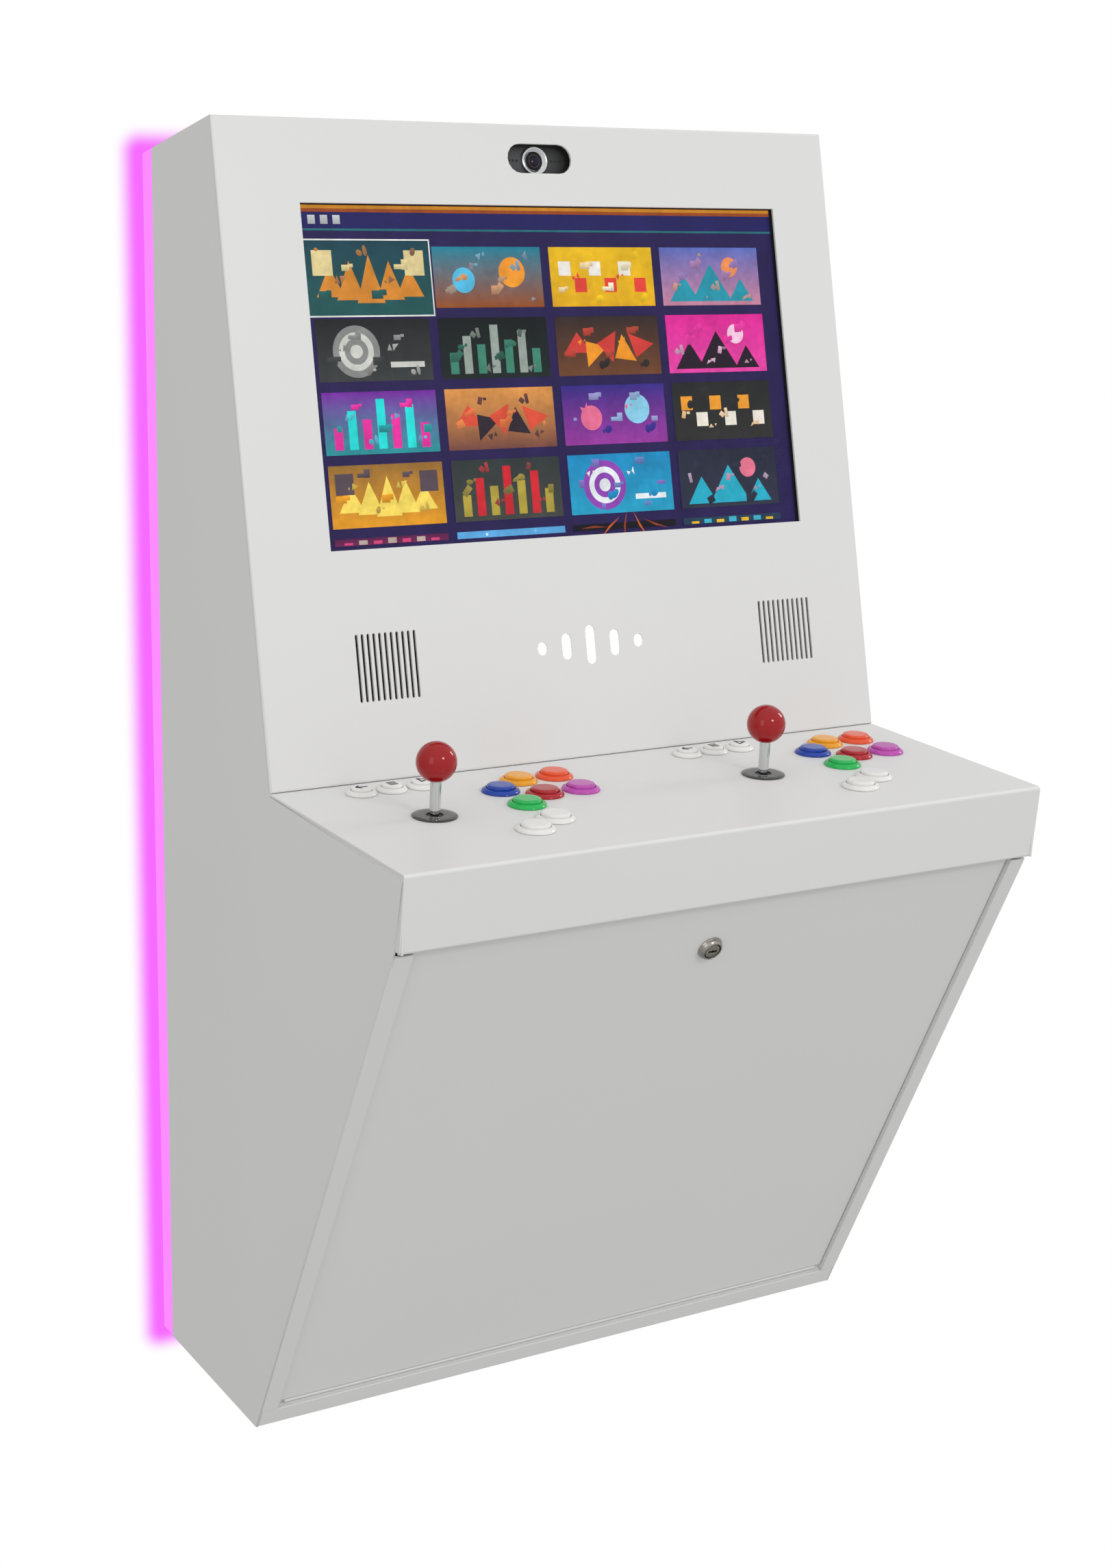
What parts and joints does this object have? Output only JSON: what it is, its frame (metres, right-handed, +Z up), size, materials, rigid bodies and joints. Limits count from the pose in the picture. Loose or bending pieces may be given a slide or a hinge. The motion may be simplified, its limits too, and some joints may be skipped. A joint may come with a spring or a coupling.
{
  "type": "wall-mounted arcade cabinet",
  "caption": "Wall-hung arcade cabinet in folded sheet metal: sloping screen bezel, a control deck of joysticks and push buttons, a locking drop-down service door and a light frame behind.",
  "frame": {"origin": "on the wall bracket's rear face, on the cabinet's centre line, 0.9 m above its lowest edge", "axes": "+Z up, +Y straight into the wall, +X to the right as a player sees the screen; the cabinet stands out along -Y"},
  "size_m": [0.65, 0.5086, 1.172],
  "materials": {
    "white_paint": "satin powder coat",
    "zinc_plate": "zinc plated",
    "chrome": "polished",
    "black_plastic": "moulded",
    "light_diffuser": "translucent, lit from inside",
    "screen_glass": "polished",
    "emblem_lens": "translucent",
    "circuit_board": "solder mask",
    "ball_red": "polished",
    "button_white": "moulded, frosted top",
    "button_blue": "moulded, frosted top",
    "button_yellow": "moulded, frosted top",
    "button_orange": "moulded, frosted top",
    "button_green": "moulded, frosted top",
    "button_red": "moulded, frosted top",
    "button_magenta": "moulded, frosted top"
  },
  "bodies": {
    "cabinet": {"side_panel_left": "white_paint", "side_panel_right": "white_paint", "top_panel": "white_paint", "bottom_panel": "white_paint", "rear_panel": "white_paint", "front_bezel": "white_paint", "control_deck": "white_paint", "wall_bracket": "zinc_plate", "cabinet_cleat": "zinc_plate", "door_hinge": "zinc_plate", "webcam_ring": "chrome", "monitor": "black_plastic", "webcam": "black_plastic", "speaker_left": "black_plastic", "speaker_right": "black_plastic", "computer": "black_plastic", "power_supply": "black_plastic", "power_inlet": "black_plastic", "joystick_base_left": "black_plastic", "joystick_base_right": "black_plastic", "dust_washer_left": "black_plastic", "dust_washer_right": "black_plastic", "button_housings_left": "black_plastic", "button_housings_right": "black_plastic", "light_frame": "light_diffuser", "screen_glass": "screen_glass", "emblem_lens": "emblem_lens", "input_board": "circuit_board"},
    "door": {"service_door": "white_paint", "lock_barrel": "chrome"},
    "lock": {"lock_plug": "zinc_plate", "lock_cam": "zinc_plate"},
    "gimbal_left": {"joystick_gimbal_left": "zinc_plate"},
    "stick_left": {"joystick_shaft_left": "chrome", "joystick_ball_left": "ball_red"},
    "gimbal_right": {"joystick_gimbal_right": "zinc_plate"},
    "stick_right": {"joystick_shaft_right": "chrome", "joystick_ball_right": "ball_red"},
    "button_left_back": {"cap_left_back": "button_white"},
    "button_left_menu": {"cap_left_menu": "button_white"},
    "button_left_start": {"cap_left_start": "button_white"},
    "button_left_blue": {"cap_left_blue": "button_blue"},
    "button_left_yellow": {"cap_left_yellow": "button_yellow"},
    "button_left_orange": {"cap_left_orange": "button_orange"},
    "button_left_green": {"cap_left_green": "button_green"},
    "button_left_red": {"cap_left_red": "button_red"},
    "button_left_magenta": {"cap_left_magenta": "button_magenta"},
    "button_left_white_upper": {"cap_left_white_upper": "button_white"},
    "button_left_white_lower": {"cap_left_white_lower": "button_white"},
    "button_right_back": {"cap_right_back": "button_white"},
    "button_right_menu": {"cap_right_menu": "button_white"},
    "button_right_start": {"cap_right_start": "button_white"},
    "button_right_blue": {"cap_right_blue": "button_blue"},
    "button_right_yellow": {"cap_right_yellow": "button_yellow"},
    "button_right_orange": {"cap_right_orange": "button_orange"},
    "button_right_green": {"cap_right_green": "button_green"},
    "button_right_red": {"cap_right_red": "button_red"},
    "button_right_magenta": {"cap_right_magenta": "button_magenta"},
    "button_right_white_upper": {"cap_right_white_upper": "button_white"},
    "button_right_white_lower": {"cap_right_white_lower": "button_white"}
  },
  "joints": [
    {"name": "door_open", "type": "hinge", "parent": "cabinet", "child": "door", "pos_m": [0, -0.22358, -0.8772], "axis": [1, 0, 0], "range_deg": [0, 95]},
    {"name": "lock_turn", "type": "hinge", "parent": "door", "child": "lock", "pos_m": [-0.005, -0.46369, -0.43259], "axis": [0, -0.8808, -0.4734], "range_deg": [0, 90]},
    {"name": "stick_left_fore_aft", "type": "hinge", "parent": "cabinet", "child": "gimbal_left", "pos_m": [-0.2265, -0.37548, -0.32131], "axis": [1, 0, 0], "range_deg": [-7.5, 7.5], "stiffness_Nm_per_rad": 1.2},
    {"name": "stick_left_sideways", "type": "hinge", "parent": "gimbal_left", "child": "stick_left", "pos_m": [-0.2265, -0.37548, -0.32131], "axis": [0, 0.9979, 0.0652], "range_deg": [-7.5, 7.5], "stiffness_Nm_per_rad": 1.2},
    {"name": "stick_right_fore_aft", "type": "hinge", "parent": "cabinet", "child": "gimbal_right", "pos_m": [0.1115, -0.37548, -0.32131], "axis": [1, 0, 0], "range_deg": [-7.5, 7.5], "stiffness_Nm_per_rad": 1.2},
    {"name": "stick_right_sideways", "type": "hinge", "parent": "gimbal_right", "child": "stick_right", "pos_m": [0.1115, -0.37548, -0.32131], "axis": [0, 0.9979, 0.0652], "range_deg": [-7.5, 7.5], "stiffness_Nm_per_rad": 1.2},
    {"name": "press_left_back", "type": "slide", "parent": "cabinet", "child": "button_left_back", "axis": [0, 0.0652, -0.9979], "range_m": [0, 0.0025], "stiffness_N_per_m": 400, "springref_m": -0.001},
    {"name": "press_left_menu", "type": "slide", "parent": "cabinet", "child": "button_left_menu", "axis": [0, 0.0652, -0.9979], "range_m": [0, 0.0025], "stiffness_N_per_m": 400, "springref_m": -0.001},
    {"name": "press_left_start", "type": "slide", "parent": "cabinet", "child": "button_left_start", "axis": [0, 0.0652, -0.9979], "range_m": [0, 0.0025], "stiffness_N_per_m": 400, "springref_m": -0.001},
    {"name": "press_left_blue", "type": "slide", "parent": "cabinet", "child": "button_left_blue", "axis": [0, 0.0652, -0.9979], "range_m": [0, 0.0025], "stiffness_N_per_m": 400, "springref_m": -0.001},
    {"name": "press_left_yellow", "type": "slide", "parent": "cabinet", "child": "button_left_yellow", "axis": [0, 0.0652, -0.9979], "range_m": [0, 0.0025], "stiffness_N_per_m": 400, "springref_m": -0.001},
    {"name": "press_left_orange", "type": "slide", "parent": "cabinet", "child": "button_left_orange", "axis": [0, 0.0652, -0.9979], "range_m": [0, 0.0025], "stiffness_N_per_m": 400, "springref_m": -0.001},
    {"name": "press_left_green", "type": "slide", "parent": "cabinet", "child": "button_left_green", "axis": [0, 0.0652, -0.9979], "range_m": [0, 0.0025], "stiffness_N_per_m": 400, "springref_m": -0.001},
    {"name": "press_left_red", "type": "slide", "parent": "cabinet", "child": "button_left_red", "axis": [0, 0.0652, -0.9979], "range_m": [0, 0.0025], "stiffness_N_per_m": 400, "springref_m": -0.001},
    {"name": "press_left_magenta", "type": "slide", "parent": "cabinet", "child": "button_left_magenta", "axis": [0, 0.0652, -0.9979], "range_m": [0, 0.0025], "stiffness_N_per_m": 400, "springref_m": -0.001},
    {"name": "press_left_white_upper", "type": "slide", "parent": "cabinet", "child": "button_left_white_upper", "axis": [0, 0.0652, -0.9979], "range_m": [0, 0.0025], "stiffness_N_per_m": 400, "springref_m": -0.001},
    {"name": "press_left_white_lower", "type": "slide", "parent": "cabinet", "child": "button_left_white_lower", "axis": [0, 0.0652, -0.9979], "range_m": [0, 0.0025], "stiffness_N_per_m": 400, "springref_m": -0.001},
    {"name": "press_right_back", "type": "slide", "parent": "cabinet", "child": "button_right_back", "axis": [0, 0.0652, -0.9979], "range_m": [0, 0.0025], "stiffness_N_per_m": 400, "springref_m": -0.001},
    {"name": "press_right_menu", "type": "slide", "parent": "cabinet", "child": "button_right_menu", "axis": [0, 0.0652, -0.9979], "range_m": [0, 0.0025], "stiffness_N_per_m": 400, "springref_m": -0.001},
    {"name": "press_right_start", "type": "slide", "parent": "cabinet", "child": "button_right_start", "axis": [0, 0.0652, -0.9979], "range_m": [0, 0.0025], "stiffness_N_per_m": 400, "springref_m": -0.001},
    {"name": "press_right_blue", "type": "slide", "parent": "cabinet", "child": "button_right_blue", "axis": [0, 0.0652, -0.9979], "range_m": [0, 0.0025], "stiffness_N_per_m": 400, "springref_m": -0.001},
    {"name": "press_right_yellow", "type": "slide", "parent": "cabinet", "child": "button_right_yellow", "axis": [0, 0.0652, -0.9979], "range_m": [0, 0.0025], "stiffness_N_per_m": 400, "springref_m": -0.001},
    {"name": "press_right_orange", "type": "slide", "parent": "cabinet", "child": "button_right_orange", "axis": [0, 0.0652, -0.9979], "range_m": [0, 0.0025], "stiffness_N_per_m": 400, "springref_m": -0.001},
    {"name": "press_right_green", "type": "slide", "parent": "cabinet", "child": "button_right_green", "axis": [0, 0.0652, -0.9979], "range_m": [0, 0.0025], "stiffness_N_per_m": 400, "springref_m": -0.001},
    {"name": "press_right_red", "type": "slide", "parent": "cabinet", "child": "button_right_red", "axis": [0, 0.0652, -0.9979], "range_m": [0, 0.0025], "stiffness_N_per_m": 400, "springref_m": -0.001},
    {"name": "press_right_magenta", "type": "slide", "parent": "cabinet", "child": "button_right_magenta", "axis": [0, 0.0652, -0.9979], "range_m": [0, 0.0025], "stiffness_N_per_m": 400, "springref_m": -0.001},
    {"name": "press_right_white_upper", "type": "slide", "parent": "cabinet", "child": "button_right_white_upper", "axis": [0, 0.0652, -0.9979], "range_m": [0, 0.0025], "stiffness_N_per_m": 400, "springref_m": -0.001},
    {"name": "press_right_white_lower", "type": "slide", "parent": "cabinet", "child": "button_right_white_lower", "axis": [0, 0.0652, -0.9979], "range_m": [0, 0.0025], "stiffness_N_per_m": 400, "springref_m": -0.001}
  ]
}
